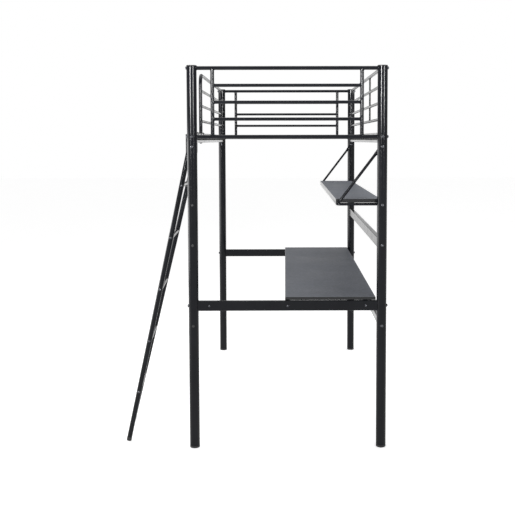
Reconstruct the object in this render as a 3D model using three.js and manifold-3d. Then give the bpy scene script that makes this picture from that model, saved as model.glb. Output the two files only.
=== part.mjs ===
// Loft bed with desk: a tubular steel bed at head height, with a desk and a shelf along its back and a
// ladder hooked over its front rail. Sizes in millimetres, +Z up. X runs across the bed, with the ladder
// at -X and the desk at +X, Y runs along it, and the floor is at Z = 0. The finished group is moved so
// that its origin lies under the middle of the whole object.
import * as THREE from 'three';
import { mergeVertices } from 'three/addons/utils/BufferGeometryUtils.js';
import Module from 'manifold-3d';

const wasm = await Module();
wasm.setup();

// Driving dimensions.
const clearance = 0.3; // between pieces that touch
const postSpacingX = 940; // between post centres, across the bed
const postSpacingY = 2030; // between post centres, along the bed
const bedHeight = 1916; // floor to the top of the post caps
const postDiameter = 50;
const postWall = 1.5;
const railDiameter = 19; // top, bottom and upright tubes of the end frames and guards
const infillDiameter = 16; // the three thinner tubes between them
const roundWall = 1.2;
const topRailZ = 1902; // tube centres of the end frames and the guards
const infillZ = [1817.5, 1735, 1652];
const bottomRailZ = 1565;
const uprightInset = 101.5; // end frame uprights, from the post's centre
const barWidth = 25; // rectangular tube of the side rails, cross bars, desk bars and back rails
const barHeight = 50;
const barWall = 1.5;
const crossBarZ = 722.5;
const sideRailZ = 1560;
const sidePlateBottomZ = 1495; // end plates of the side rails
const sidePlateDepth = 5;
const sideBoltZ = [1566, 1516];
const slatCount = 13;
const slatEndInset = 169; // first slat, from the post's centre
const slatDiameter = 16;
const slatZ = bottomRailZ + 1;
const seatLength = 20; // slat seats on the side rails
const seatWidth = 24;
const seatDrop = 9; // seat material under a slat
const guardBend = 58; // bend radius of the guards' corners
const guardEndInset = 60; // upright nearest a post, from the post's centre
const ladderGapY = 444; // open length of the front guard at the ladder, from the post's centre
const tieBarDiameter = 10;
const tieBarY = -374;
const backRailZ = 1027;
const lowRailZ = 623;
const lowRailHeight = 38;
const lowRailWidth = 20;
const deskDepth = 455;
const deskThickness = 15;
const deskBackInset = 27.7; // desk board's back edge, from the post's centre
const deskEndInset = 9; // desk board end, from the cross bar's centre
const deskBarFrontInset = 12.7; // desk bars' centres, from the board's front and back edges
const deskBarBackInset = 51.3;
const shelfTopZ = 1253;
const shelfThickness = 18;
const shelfDepth = 228;
const shelfBackReach = 1; // shelf board's back edge, past the post's centre
const shelfTubeDiameter = 14.5;
const shelfTubeWall = 1.5;
const shelfBend = 16;
const shelfBackTubeInset = 8; // from the post's centre
const strutTab = 3; // flattened end of a strut
const ladderTubeDiameter = 25;
const ladderWall = 1.5;
const ladderTopZ = 1579;
const ladderBendZ = 1483; // where the lean meets the upright top
const ladderBend = 70;
const ladderStandOff = 5.3; // ladder tube to the side rail's outer face
const ladderNearY = 94; // ladder tubes from the near post's centre
const ladderFarY = 440;
const ladderReachNear = 321; // foot from the upright top, measured on the floor
const ladderReachFar = 357; // the far foot stands a little further out
const rungDiameter = 22;
const rungCount = 5;
const rungFirstZ = 260;
const rungPitch = 265;
const hookPlate = 4;
const hookWidth = 20;
const hookPlay = 5; // hook's inner leg to the side rail's inner face
const hookDepth = 18;
const hookPlateBottomZ = 1540; // lower edge of a hook's plate
const footCapHeight = 12;
const topCapHeight = 5;
const capRound = 5;
const capStub = 24; // length of a cap that sits inside its tube
const ladderCapRim = 0.75; // foot cap past the ladder tube
const boltDiameter = 8;
const boltHole = 9.6;
const boltHead = 16;
const boltHeadHeight = 6;
const boltTail = 18; // bolt length beyond the post

const postX = postSpacingX / 2;
const postY = postSpacingY / 2;
const postR = postDiameter / 2;
const uprightX = postX - uprightInset;
const deskFrontX = postX - deskBackInset - deskDepth;
const deskBarX = [deskFrontX + deskBarFrontInset, deskFrontX + deskDepth - deskBarBackInset];
const shelfBackX = postX + shelfBackReach;
const shelfFrontX = shelfBackX - shelfDepth;
const shelfBackTubeX = postX - shelfBackTubeInset;
const corners = [
  ['near_left', -1, -1],
  ['near_right', 1, -1],
  ['far_left', -1, 1],
  ['far_right', 1, 1],
];
const ends = [['near', -1], ['far', 1]];

const steel = (name) => new THREE.MeshStandardMaterial({
  name, color: 0x26282c, roughness: 0.42, metalness: 0.55 });
const plastic = (name) => new THREE.MeshStandardMaterial({
  name, color: 0x141416, roughness: 0.6, metalness: 0 });
const laminate = (name) => new THREE.MeshStandardMaterial({
  name, color: 0x3a3c40, roughness: 0.5, metalness: 0 });

const bed = new THREE.Group();

function addPiece(name, geometry, material) {
  const mesh = new THREE.Mesh(geometry, material);
  mesh.name = name;
  bed.add(mesh);
  return mesh;
}

// Booleans. A closed three.js geometry becomes a solid, and a solid becomes a geometry again.
function toSolid(geometry) {
  const plain = geometry.clone();
  plain.deleteAttribute('normal');
  plain.deleteAttribute('uv');
  const merged = mergeVertices(plain, 1e-4);
  return new wasm.Manifold(new wasm.Mesh({
    numProp: 3,
    vertProperties: new Float32Array(merged.attributes.position.array),
    triVerts: new Uint32Array(merged.index.array),
  }));
}

function toGeometry(solid) {
  const mesh = solid.getMesh();
  const geometry = new THREE.BufferGeometry();
  geometry.setAttribute('position', new THREE.BufferAttribute(mesh.vertProperties, 3));
  geometry.setIndex(new THREE.BufferAttribute(mesh.triVerts, 1));
  geometry.computeVertexNormals();
  return geometry;
}

const join = (solids) => solids.reduce((whole, next) => whole.add(next));
const cutAll = (solid, tools) => tools.reduce((rest, tool) => rest.subtract(tool), solid);
const at = (x, y, z) => new THREE.Vector3(x, y, z);

// A path of straight runs with rounded corners. Its stations lie only where the direction changes, so a
// long straight run costs no extra faces.
class BentPath extends THREE.Curve {
  constructor(points, bendRadius, bendSteps = 4) {
    super();
    this.stations = [];
    points.forEach((point, i) => {
      const before = i > 0 ? point.clone().sub(points[i - 1]).normalize() : null;
      const after = i < points.length - 1 ? points[i + 1].clone().sub(point).normalize() : null;
      if (!before || !after) {
        this.stations.push([point, before ?? after]);
        return;
      }
      const turn = before.angleTo(after);
      const setBack = bendRadius * Math.tan(turn / 2);
      const axis = before.clone().cross(after).normalize();
      const inward = axis.clone().cross(before);
      const start = point.clone().addScaledVector(before, -setBack);
      const centre = start.clone().addScaledVector(inward, bendRadius);
      for (let k = 0; k <= bendSteps; k += 1) {
        const angle = turn * k / bendSteps;
        this.stations.push([
          start.clone().sub(centre).applyAxisAngle(axis, angle).add(centre),
          before.clone().applyAxisAngle(axis, angle),
        ]);
      }
    });
  }

  get steps() { return this.stations.length - 1; }

  getPointAt(u) { return this.stations[Math.round(u * this.steps)][0].clone(); }

  getTangentAt(u) { return this.stations[Math.round(u * this.steps)][1].clone(); }
}

// Sections, drawn around the tube's centre line. The holed ones give a tube its bore.
function roundSection(radius, sides) {
  const points = [];
  for (let k = 0; k < sides; k += 1) {
    const angle = 2 * Math.PI * (k + 0.5) / sides;
    points.push(new THREE.Vector2(radius * Math.cos(angle), radius * Math.sin(angle)));
  }
  return new THREE.Shape(points);
}

function boxSection(width, height, corner) {
  const [w, h] = [width / 2, height / 2];
  const shape = new THREE.Shape();
  shape.moveTo(-w + corner, -h);
  shape.lineTo(w - corner, -h).absarc(w - corner, -h + corner, corner, -Math.PI / 2, 0);
  shape.lineTo(w, h - corner).absarc(w - corner, h - corner, corner, 0, Math.PI / 2);
  shape.lineTo(-w + corner, h).absarc(-w + corner, h - corner, corner, Math.PI / 2, Math.PI);
  shape.lineTo(-w, -h + corner).absarc(-w + corner, -h + corner, corner, Math.PI, 1.5 * Math.PI);
  return shape;
}

const innerRadius = (radius, wall, sides) => radius - wall / Math.cos(Math.PI / sides);
const plugRadius = (radius, wall, sides) => (
  innerRadius(radius, wall, sides) * Math.cos(Math.PI / sides) - clearance);

function sweep(shape, points, bendRadius = 0) {
  const path = new BentPath(points, bendRadius);
  return new THREE.ExtrudeGeometry(shape, { steps: path.steps, bevelEnabled: false, extrudePath: path });
}

function rod(points, diameter, sides, bendRadius) {
  return toSolid(sweep(roundSection(diameter / 2, sides), points, bendRadius));
}

// A bore runs 1 mm past both ends of its tube.
function bore(points, diameter, wall, sides, bendRadius) {
  const last = points.length - 1;
  const pastStart = points[0].clone().sub(points[1]).setLength(1).add(points[0]);
  const pastEnd = points[last].clone().sub(points[last - 1]).setLength(1).add(points[last]);
  const path = [pastStart, ...points.slice(1, last), pastEnd];
  return toSolid(sweep(roundSection(innerRadius(diameter / 2, wall, sides), sides), path, bendRadius));
}

function roundTube(points, diameter, wall, sides, bendRadius) {
  return rod(points, diameter, sides, bendRadius)
    .subtract(bore(points, diameter, wall, sides, bendRadius));
}

function box(low, high) {
  const size = high.clone().sub(low);
  const geometry = new THREE.BoxGeometry(size.x, size.y, size.z);
  geometry.translate((low.x + high.x) / 2, (low.y + high.y) / 2, (low.z + high.z) / 2);
  return toSolid(geometry);
}

// A rectangular tube's outer solid or bore, from a point along X or Y, with its height along Z.
function barSolid(axis, centre, length, width, height, corner) {
  const geometry = new THREE.ExtrudeGeometry(boxSection(width, height, corner), {
    depth: length, bevelEnabled: false, curveSegments: 1 });
  geometry.translate(0, 0, -length / 2);
  geometry.rotateX(Math.PI / 2);
  if (axis === 'x') geometry.rotateZ(Math.PI / 2);
  geometry.translate(centre.x, centre.y, centre.z);
  return toSolid(geometry);
}

function bar(axis, centre, length, width, height) {
  return barSolid(axis, centre, length, width, height, 2)
    .subtract(barSolid(axis, centre, length + 2, width - 2 * barWall, height - 2 * barWall, 1));
}

// A turned piece: a profile of (radius, height) points, closed on the axis, stood on a point.
function turned(profile, sides, foot, direction = at(0, 0, 1)) {
  const geometry = new THREE.LatheGeometry(profile.map(([r, h]) => new THREE.Vector2(r, h)), sides);
  geometry.rotateY(Math.PI / sides);
  geometry.applyQuaternion(new THREE.Quaternion().setFromUnitVectors(at(0, 1, 0), direction));
  geometry.translate(foot.x, foot.y, foot.z);
  return geometry;
}

const roundedEdge = (radius, round) => [0, 45, 90].map((degrees) => {
  const angle = THREE.MathUtils.degToRad(degrees);
  return [radius - round + round * Math.sin(angle), round - round * Math.cos(angle)];
});

// Posts, with through holes for every bolt that a post can take, so that all four are alike.
const postSides = 16;
const postColumn = (x, y, radius, fromZ, toZ) => rod([at(x, y, fromZ), at(x, y, toZ)], 2 * radius, postSides);
const postRelief = corners.map(([, sx, sy]) => postColumn(
  sx * postX, sy * postY, postR + clearance / Math.cos(Math.PI / postSides), -10, bedHeight + 10));
const shelfArmZ = shelfTopZ - shelfThickness - clearance - shelfTubeDiameter / 2;
const alongHoles = [...sideBoltZ, shelfArmZ, backRailZ, lowRailZ];
const acrossHoles = [topRailZ, bottomRailZ, crossBarZ];

function holeAlongY(x, y, z, reach) {
  return rod([at(x, y - reach, z), at(x, y + reach, z)], boltHole, 6);
}

function holeAlongX(x, y, z, reach) {
  return rod([at(x - reach, y, z), at(x + reach, y, z)], boltHole, 6);
}

for (const [corner, sx, sy] of corners) {
  const [x, y] = [sx * postX, sy * postY];
  const [low, high] = [footCapHeight, bedHeight - topCapHeight];
  const tube = postColumn(x, y, postR, low, high)
    .subtract(postColumn(x, y, innerRadius(postR, postWall, postSides), low - 1, high + 1));
  const holes = [
    ...alongHoles.map((z) => holeAlongY(x, y, z, postDiameter)),
    ...acrossHoles.map((z) => holeAlongX(x, y, z, postDiameter)),
  ];
  addPiece(`post_${corner}`, toGeometry(cutAll(tube, holes)), steel('post'));

  const stubR = plugRadius(postR, postWall, postSides);
  const footProfile = [[0, 0], ...roundedEdge(postR, capRound), [postR, footCapHeight - clearance],
    [stubR, footCapHeight - clearance], [stubR, footCapHeight + capStub], [0, footCapHeight + capStub]];
  addPiece(`foot_cap_${corner}`, turned(footProfile, postSides, at(x, y, 0)), plastic('cap'));
  const topProfile = [[0, 0], ...roundedEdge(postR, topCapHeight * 0.8), [postR, topCapHeight - clearance],
    [stubR, topCapHeight - clearance], [stubR, topCapHeight + capStub], [0, topCapHeight + capStub]];
  addPiece(`top_cap_${corner}`, turned(topProfile, postSides, at(x, y, bedHeight), at(0, 0, -1)),
    plastic('cap'));
}

// A welded frame of round tubes: all outer solids joined, less all bores joined.
function weldedFrame(runs, sides = 10) {
  const solid = join(runs.map((run) => rod(run.points, run.diameter, sides, run.bend)));
  const bores = join(runs.map((run) => bore(run.points, run.diameter, roundWall, sides, run.bend)));
  return solid.subtract(bores);
}

// End frames: two tubes from post to post, two uprights and three thinner tubes between the uprights.
for (const [end, sy] of ends) {
  const y = sy * postY;
  const runs = [topRailZ, bottomRailZ].map((z) => ({
    points: [at(-postX + postR / 2, y, z), at(postX - postR / 2, y, z)], diameter: railDiameter }));
  for (const x of [-uprightX, uprightX]) {
    runs.push({ points: [at(x, y, bottomRailZ), at(x, y, topRailZ)], diameter: railDiameter });
  }
  for (const z of infillZ) {
    runs.push({ points: [at(-uprightX, y, z), at(uprightX, y, z)], diameter: infillDiameter });
  }
  addPiece(`end_frame_${end}`, toGeometry(cutAll(weldedFrame(runs), postRelief)), steel('rail'));

  const crossBar = bar('x', at(0, y, crossBarZ), postSpacingX - postR, barWidth, barHeight);
  const deskHoles = [-deskBarX[1], ...deskBarX].map((x) => holeAlongY(x, y, crossBarZ, barWidth));
  addPiece(`cross_bar_${end}`, toGeometry(cutAll(crossBar, [...postRelief, ...deskHoles])), steel('bar'));
}

// Side rails, with an end plate against each post and a seat for every slat.
const slatPitch = (postSpacingY - 2 * slatEndInset) / (slatCount - 1);
const slatYs = Array.from({ length: slatCount }, (_, k) => (k - (slatCount - 1) / 2) * slatPitch);
const railInnerX = postX - barWidth / 2;
const sideRailTopZ = sideRailZ + barHeight / 2;
const plateY = postY - postR - sidePlateDepth;

for (const [side, sx] of [['front', -1], ['back', 1]]) {
  const x = sx * postX;
  const pieces = [barSolid('y', at(x, 0, sideRailZ), 2 * plateY + 1, barWidth, barHeight, 2)];
  for (const sy of [-1, 1]) {
    const [y0, y1] = [sy * plateY, sy * (postY - postR / 2)].sort((a, b) => a - b);
    pieces.push(box(at(x - barWidth / 2, y0, sidePlateBottomZ), at(x + barWidth / 2, y1, sideRailTopZ)));
  }
  for (const y of slatYs) {
    const [x0, x1] = [sx * (railInnerX + 1), sx * (railInnerX - seatLength)].sort((a, b) => a - b);
    const seatLow = slatZ - slatDiameter / 2 - seatDrop;
    pieces.push(box(at(x0, y - seatWidth / 2, seatLow), at(x1, y + seatWidth / 2, slatZ - 2)));
  }
  const grooves = slatYs.map((y) => rod(
    [at(sx * (railInnerX - 0.01), y, slatZ), at(sx * (railInnerX - 2 * seatLength), y, slatZ)],
    slatDiameter + 2 * clearance, 8));
  const hollow = barSolid('y', at(x, 0, sideRailZ), 2 * plateY - 0.5,
    barWidth - 2 * barWall, barHeight - 2 * barWall, 1);
  const boltHoles = sideBoltZ.flatMap((z) => [-1, 1].map((sy) => holeAlongY(x, sy * plateY, z, postR)));
  const rail = cutAll(join(pieces), [...postRelief, ...grooves, hollow, ...boltHoles]);
  addPiece(`side_rail_${side}`, toGeometry(rail), steel('bar'));
}

for (const [k, y] of slatYs.entries()) {
  const reach = railInnerX - clearance;
  addPiece(`slat_${String(k + 1).padStart(2, '0')}`,
    toGeometry(roundTube([at(-reach, y, slatZ), at(reach, y, slatZ)], slatDiameter, roundWall, 8)),
    steel('slat'));
}

// Guards: a hoop with bent corners that stands on the side rail, and three thinner tubes inside it.
function guard(x, nearY, farY, tieBars) {
  const foot = sideRailTopZ + clearance;
  const runs = [{
    points: [at(x, nearY, foot), at(x, nearY, topRailZ), at(x, farY, topRailZ), at(x, farY, foot)],
    diameter: railDiameter, bend: guardBend }];
  for (const z of infillZ) {
    runs.push({ points: [at(x, nearY, z), at(x, farY, z)], diameter: infillDiameter });
  }
  for (const y of tieBars) {
    runs.push({ points: [at(x, y, infillZ[2]), at(x, y, topRailZ)], diameter: tieBarDiameter });
  }
  return toGeometry(weldedFrame(runs));
}

const guardEndY = postY - guardEndInset;
addPiece('guard_front', guard(-postX, -postY + ladderGapY, guardEndY, []), steel('rail'));
addPiece('guard_back', guard(postX, -guardEndY, guardEndY, [tieBarY]), steel('rail'));

// Back rails between the two back posts.
for (const [name, z, width, height] of [['back_rail_middle', backRailZ, barWidth, barHeight],
  ['back_rail_low', lowRailZ, lowRailWidth, lowRailHeight]]) {
  const rail = bar('y', at(postX, 0, z), postSpacingY - postR, width, height);
  addPiece(name, toGeometry(cutAll(rail, postRelief)), steel('bar'));
}

// Desk: a board on the two cross bars and on two long bars between them.
const crossBarTopZ = crossBarZ + barHeight / 2;
const deskHalfLength = postY - deskEndInset;

function board(low, high, round) {
  const shape = boxSection(high.x - low.x, high.y - low.y, round);
  const geometry = new THREE.ExtrudeGeometry(shape, {
    depth: high.z - low.z, bevelEnabled: false, curveSegments: 2 });
  geometry.translate((low.x + high.x) / 2, (low.y + high.y) / 2, low.z);
  return geometry;
}

const deskBottomZ = crossBarTopZ + clearance;
addPiece('desk_top', board(at(deskFrontX, -deskHalfLength, deskBottomZ),
  at(deskFrontX + deskDepth, deskHalfLength, deskBottomZ + deskThickness), 3), laminate('desk'));
for (const [name, x] of [['desk_bar_front', deskBarX[0]], ['desk_bar_back', deskBarX[1]]]) {
  const length = postSpacingY - barWidth - 2 * clearance;
  addPiece(name, toGeometry(bar('y', at(x, 0, crossBarZ), length, barWidth, barHeight)), steel('bar'));
}

// Shelf: a board on a bent tube frame, held at each post by its arm's end and by a strut from above.
const armY = plateY - clearance - shelfTubeDiameter / 2;
const armEndX = postX + shelfTubeDiameter / 2;
const shelfFrontTubeX = shelfFrontX + shelfTubeDiameter / 2;
const shelfPath = [at(armEndX, -armY, shelfArmZ), at(shelfFrontTubeX, -armY, shelfArmZ),
  at(shelfFrontTubeX, armY, shelfArmZ), at(armEndX, armY, shelfArmZ)];
const shelfBackTube = [at(shelfBackTubeX, -armY, shelfArmZ), at(shelfBackTubeX, armY, shelfArmZ)];
const shelfOuter = join([rod(shelfPath, shelfTubeDiameter, 10, shelfBend),
  rod(shelfBackTube, shelfTubeDiameter, 10)]);
const shelfInner = join([bore(shelfPath, shelfTubeDiameter, shelfTubeWall, 10, shelfBend),
  bore(shelfBackTube, shelfTubeDiameter, shelfTubeWall, 10)]);
const armHoles = [-1, 1].map((sy) => holeAlongY(postX, sy * armY, shelfArmZ, shelfTubeDiameter));
addPiece('shelf_frame', toGeometry(cutAll(shelfOuter.subtract(shelfInner), armHoles)), steel('rail'));

const boardHalfLength = armY - shelfTubeDiameter / 2 - 1;
addPiece('shelf_board', board(at(shelfFrontX, -boardHalfLength, shelfTopZ - shelfThickness),
  at(shelfBackX, boardHalfLength, shelfTopZ), 3), laminate('shelf'));

// A strut runs from the frame's front corner up to the lower side rail bolt, where its end is flat.
const strutTop = new THREE.Vector2(postX, sideBoltZ[1]);
const strutFoot = new THREE.Vector2(shelfFrontTubeX, shelfArmZ);
const strutLine = strutTop.clone().sub(strutFoot).normalize();
const strutFlatStart = 30; // from the bolt's centre

for (const [end, sy] of ends) {
  const place = (point, along) => at(point.x + strutLine.x * along, sy * armY, point.y + strutLine.y * along);
  const foot = place(strutFoot, 0);
  const tubeEnd = place(strutTop, -strutFlatStart);
  const tab = toSolid(new THREE.ExtrudeGeometry(roundSection(shelfTubeDiameter / 2 + 1, 12), {
    depth: strutTab, bevelEnabled: false }));
  const tabAt = (along) => {
    const centre = place(strutTop, along);
    return tab.rotate([90, 0, 0]).translate([
      centre.x, sy * (plateY - clearance) + (sy < 0 ? strutTab : 0), centre.z]);
  };
  const flat = tabAt(0).add(tabAt(-strutFlatStart)).hull();
  const tube = roundTube([foot, tubeEnd], shelfTubeDiameter, shelfTubeWall, 10);
  const relief = rod(shelfPath, shelfTubeDiameter + 2 * clearance, 10, shelfBend);
  const below = box(foot.clone().subScalar(40), foot.clone().add(at(40, 40, 2)));
  const hole = holeAlongY(strutTop.x, sy * armY, strutTop.y, shelfTubeDiameter);
  const strut = cutAll(tube.add(flat), [relief, below, hole]);
  addPiece(`shelf_strut_${end}`, toGeometry(strut), steel('rail'));
}

// Ladder: two leaning tubes with upright tops and welded hooks, five rungs and two foot caps.
const railOuterX = -postX - barWidth / 2;
const ladderTopX = railOuterX - ladderStandOff - ladderTubeDiameter / 2;
const ladderSides = [
  ['near', -postY + ladderNearY, ladderReachNear, 1],
  ['far', -postY + ladderFarY, ladderReachFar, -1],
];
const footAxis = (reach) => at(reach, 0, ladderBendZ).normalize();

// The point of a ladder tube's centre line at a height below the bend.
const ladderPoint = (y, reach, z) => at(ladderTopX - reach * (1 - z / ladderBendZ), y, z);

const ladderCapDiameter = ladderTubeDiameter + 2 * ladderCapRim;

// How high a cap's end centre stands when its rounded edge, turned by the lean, touches the floor.
function capEndZ(axis) {
  const [flat, lean] = [ladderCapDiameter / 2 - capRound, Math.acos(axis.z)];
  return capRound - capRound * Math.cos(lean) + flat * Math.sin(lean);
}

// The hook: a plate between the ladder tube and the side rail, whose tongue goes over the rail.
function hook(y, inward) {
  const plateX = railOuterX - ladderStandOff + clearance;
  const tongueNear = y + inward * (ladderTubeDiameter / 2 + 1);
  const tongueFar = tongueNear + inward * hookWidth;
  const [y0, y1] = [y - inward * ladderTubeDiameter / 3, tongueFar].sort((a, b) => a - b);
  const [t0, t1] = [tongueNear, tongueFar].sort((a, b) => a - b);
  const underZ = sideRailTopZ + clearance;
  const legX = -railInnerX + hookPlay;
  return [
    box(at(plateX - 2, y0, hookPlateBottomZ), at(plateX + hookPlate, y1, ladderTopZ)),
    box(at(plateX, t0, ladderTopZ - 5), at(plateX + hookPlate, t1, underZ + hookPlate)),
    box(at(plateX, t0, underZ), at(legX + hookPlate, t1, underZ + hookPlate)),
    box(at(legX, t0, sideRailTopZ - hookDepth), at(legX + hookPlate, t1, underZ + hookPlate)),
  ];
}

const ladderPaths = {};
for (const [side, y, reach, inward] of ladderSides) {
  const axis = footAxis(reach);
  const floorPoint = ladderPoint(y, reach, 0);
  const capEnd = floorPoint.clone().addScaledVector(axis, capEndZ(axis) / axis.z);
  const tubeStart = capEnd.clone().addScaledVector(axis, footCapHeight);
  const path = [tubeStart, at(ladderTopX, y, ladderBendZ), at(ladderTopX, y, ladderTopZ)];
  ladderPaths[side] = path;
  const outer = join([rod(path, ladderTubeDiameter, 12, ladderBend), ...hook(y, inward)]);
  const tube = outer.subtract(bore(path, ladderTubeDiameter, ladderWall, 12, ladderBend));
  addPiece(`ladder_rail_${side}`, toGeometry(tube), steel('ladder'));

  const stubR = plugRadius(ladderTubeDiameter / 2, ladderWall, 12);
  const capR = ladderCapDiameter / 2;
  const profile = [[0, 0], ...roundedEdge(capR, capRound), [capR, footCapHeight - clearance],
    [stubR, footCapHeight - clearance], [stubR, footCapHeight + capStub], [0, footCapHeight + capStub]];
  addPiece(`ladder_foot_${side}`, turned(profile, 12, capEnd, axis), plastic('cap'));
}

const ladderRelief = Object.values(ladderPaths).map((path) => rod(
  path, ladderTubeDiameter + 2 * clearance, 12, ladderBend));
for (let k = 0; k < rungCount; k += 1) {
  const z = rungFirstZ + k * rungPitch;
  const points = ladderSides.map(([, y, reach]) => ladderPoint(y, reach, z));
  const rung = roundTube(points, rungDiameter, roundWall, 12);
  addPiece(`rung_${k + 1}`, toGeometry(cutAll(rung, ladderRelief)), steel('ladder'));
}

// Button head bolts: one through each post into the side rail's plate, one into each cross bar.
function bolt(head, direction, length) {
  const [r, h] = [boltHead / 2, boltHeadHeight];
  const profile = [[0, 0], [boltDiameter / 2, 0], [boltDiameter / 2, length], [r, length],
    [r * 0.9, length + h * 0.5], [r * 0.55, length + h * 0.88], [0, length + h]];
  return turned(profile, 10, head.clone().addScaledVector(direction, -length), direction);
}

for (const [corner, sx, sy] of corners) {
  const length = postDiameter + clearance + boltTail;
  addPiece(`rail_bolt_${corner}`, bolt(
    at(sx * postX, sy * (postY + postR + clearance), sideBoltZ[1]), at(0, sy, 0), length), steel('bolt'));
  addPiece(`cross_bolt_${corner}`, bolt(
    at(sx * (postX + postR + clearance), sy * postY, crossBarZ), at(sx, 0, 0), length), steel('bolt'));
}

const bounds = new THREE.Box3().setFromObject(bed);
bed.position.x = -(bounds.min.x + bounds.max.x) / 2;
bed.position.y = -(bounds.min.y + bounds.max.y) / 2;

export default bed;
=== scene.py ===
import math
import bpy
import bmesh
import numpy as np
from mathutils import Matrix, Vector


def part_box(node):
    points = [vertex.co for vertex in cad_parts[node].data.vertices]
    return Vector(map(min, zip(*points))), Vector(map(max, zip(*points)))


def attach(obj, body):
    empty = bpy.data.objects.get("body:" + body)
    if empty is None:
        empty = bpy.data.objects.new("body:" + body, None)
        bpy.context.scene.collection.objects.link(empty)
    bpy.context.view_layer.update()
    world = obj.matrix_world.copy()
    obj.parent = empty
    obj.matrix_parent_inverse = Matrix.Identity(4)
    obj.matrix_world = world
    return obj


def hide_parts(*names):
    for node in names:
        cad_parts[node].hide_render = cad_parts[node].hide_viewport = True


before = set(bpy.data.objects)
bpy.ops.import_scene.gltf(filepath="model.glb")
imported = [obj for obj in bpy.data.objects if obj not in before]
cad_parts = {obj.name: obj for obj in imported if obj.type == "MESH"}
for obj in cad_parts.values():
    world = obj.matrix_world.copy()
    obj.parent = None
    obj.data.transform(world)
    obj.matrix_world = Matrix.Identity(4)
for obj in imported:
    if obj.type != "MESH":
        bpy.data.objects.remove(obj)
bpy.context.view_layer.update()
print("frame loaded:", len(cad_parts), "nodes")

mm = 0.001
axisX = np.array([1.0, 0.0, 0.0])
axisY = np.array([0.0, 1.0, 0.0])
axisZ = np.array([0.0, 0.0, 1.0])


# Places come from the CAD boxes, in metres.
def low(node, axis):
    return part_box(node)[0][axis]


def high(node, axis):
    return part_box(node)[1][axis]


def middle(node, axis):
    return (low(node, axis) + high(node, axis)) / 2


def point(x, y, z):
    return np.array([x, y, z], dtype=float)


leftX = middle("post_near_left", 0)
rightX = middle("post_near_right", 0)
nearY = middle("post_near_left", 1)
farY = middle("post_far_left", 1)
bedX = (leftX + rightX) / 2
bedTopZ = high("top_cap_near_left", 2)
corners = {
    "near_left": (leftX, nearY, -1, -1),
    "near_right": (rightX, nearY, 1, -1),
    "far_left": (leftX, farY, -1, 1),
    "far_right": (rightX, farY, 1, 1),
}
tubes = {
    "postRadius": 25 * mm,
    "railRadius": 9.5 * mm,
    "infillRadius": 8 * mm,
    "tieRadius": 5 * mm,
    "slatRadius": 8 * mm,
    "slatEdge": 0.8 * mm,
    "ladderRadius": 12.5 * mm,
    "rungRadius": 10.7 * mm,
    "shelfRadius": 7.2 * mm,
    "barCorner": 3.2 * mm,
}
levels = {
    "topRail": 1902 * mm,
    "infill": (1817.5 * mm, 1735 * mm, 1652 * mm),
    "bottomRail": 1565 * mm,
    "sideBolts": (1566 * mm, 1516 * mm),
    "slat": middle("slat_07", 2),
    "crossBar": middle("cross_bar_near", 2),
    "shelfArm": middle("shelf_frame", 2),
    "backRail": middle("back_rail_middle", 2),
    "lowRail": middle("back_rail_low", 2),
}


def newMaterial(name):
    material = bpy.data.materials.new(name)
    material.use_nodes = True
    tree = material.node_tree
    shader = tree.nodes["Principled BSDF"]
    return material, tree, shader


def addNode(tree, kind, settings=None, values=None):
    node = tree.nodes.new(kind)
    for key, value in (settings or {}).items():
        setattr(node, key, value)
    for key, value in (values or {}).items():
        node.inputs[key].default_value = value
    return node


def noise(tree, coords, scale, detail=3.0, roughness=0.55, distortion=0.0):
    node = addNode(tree, "ShaderNodeTexNoise", None, {
        "Scale": scale, "Detail": detail, "Roughness": roughness, "Distortion": distortion})
    tree.links.new(coords, node.inputs["Vector"])
    return node.outputs["Fac"]


def ramp(tree, value, stops):
    node = tree.nodes.new("ShaderNodeValToRGB")
    for element, (place, colour) in zip(node.color_ramp.elements, stops):
        element.position = place
        element.color = (*colour, 1.0)
    tree.links.new(value, node.inputs["Fac"])
    return node.outputs["Color"]


def lifted(tone, lift):
    return tuple(c * lift for c in tone)


def mapRange(tree, value, fromLow, fromHigh, toLow, toHigh):
    node = addNode(tree, "ShaderNodeMapRange", None, {
        "From Min": fromLow, "From Max": fromHigh, "To Min": toLow, "To Max": toHigh})
    tree.links.new(value, node.inputs["Value"])
    return node.outputs["Result"]


def mixColour(tree, factor, first, second):
    # a mix node's colour sockets are 6 and 7; second is a plain tone
    node = addNode(tree, "ShaderNodeMix", {"data_type": "RGBA"}, {7: (*second, 1.0)})
    tree.links.new(factor, node.inputs[0])
    tree.links.new(first, node.inputs[6])
    return node.outputs[2]


def bump(tree, heights, shader):
    # heights is a list of (value, strength, distance); each bump sits on the one before
    last = None
    for value, strength, distance in heights:
        node = addNode(tree, "ShaderNodeBump", None, {"Strength": strength, "Distance": distance})
        tree.links.new(value, node.inputs["Height"])
        if last is not None:
            tree.links.new(last, node.inputs["Normal"])
        last = node.outputs["Normal"]
    tree.links.new(last, shader.inputs["Normal"])


# In each finish, a pair named after a texture is the (strength, depth) of its bump.
powderCoat = {
    "tone": (0.0036, 0.0040, 0.0054),
    "toneLight": (0.0054, 0.0060, 0.0078),
    "dust": (0.022, 0.023, 0.026),
    "dustShare": 0.10,
    "roughness": (0.12, 0.20),
    "patchScale": 5.5,
    "cloudScale": 14.0,
    "speckleScale": 240.0,
    "speckle": (0.12, 0.1 * mm),
    "peelScale": 620.0,
    "peel": (0.35, 0.05 * mm),
    "specular": 0.17,
}


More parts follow.
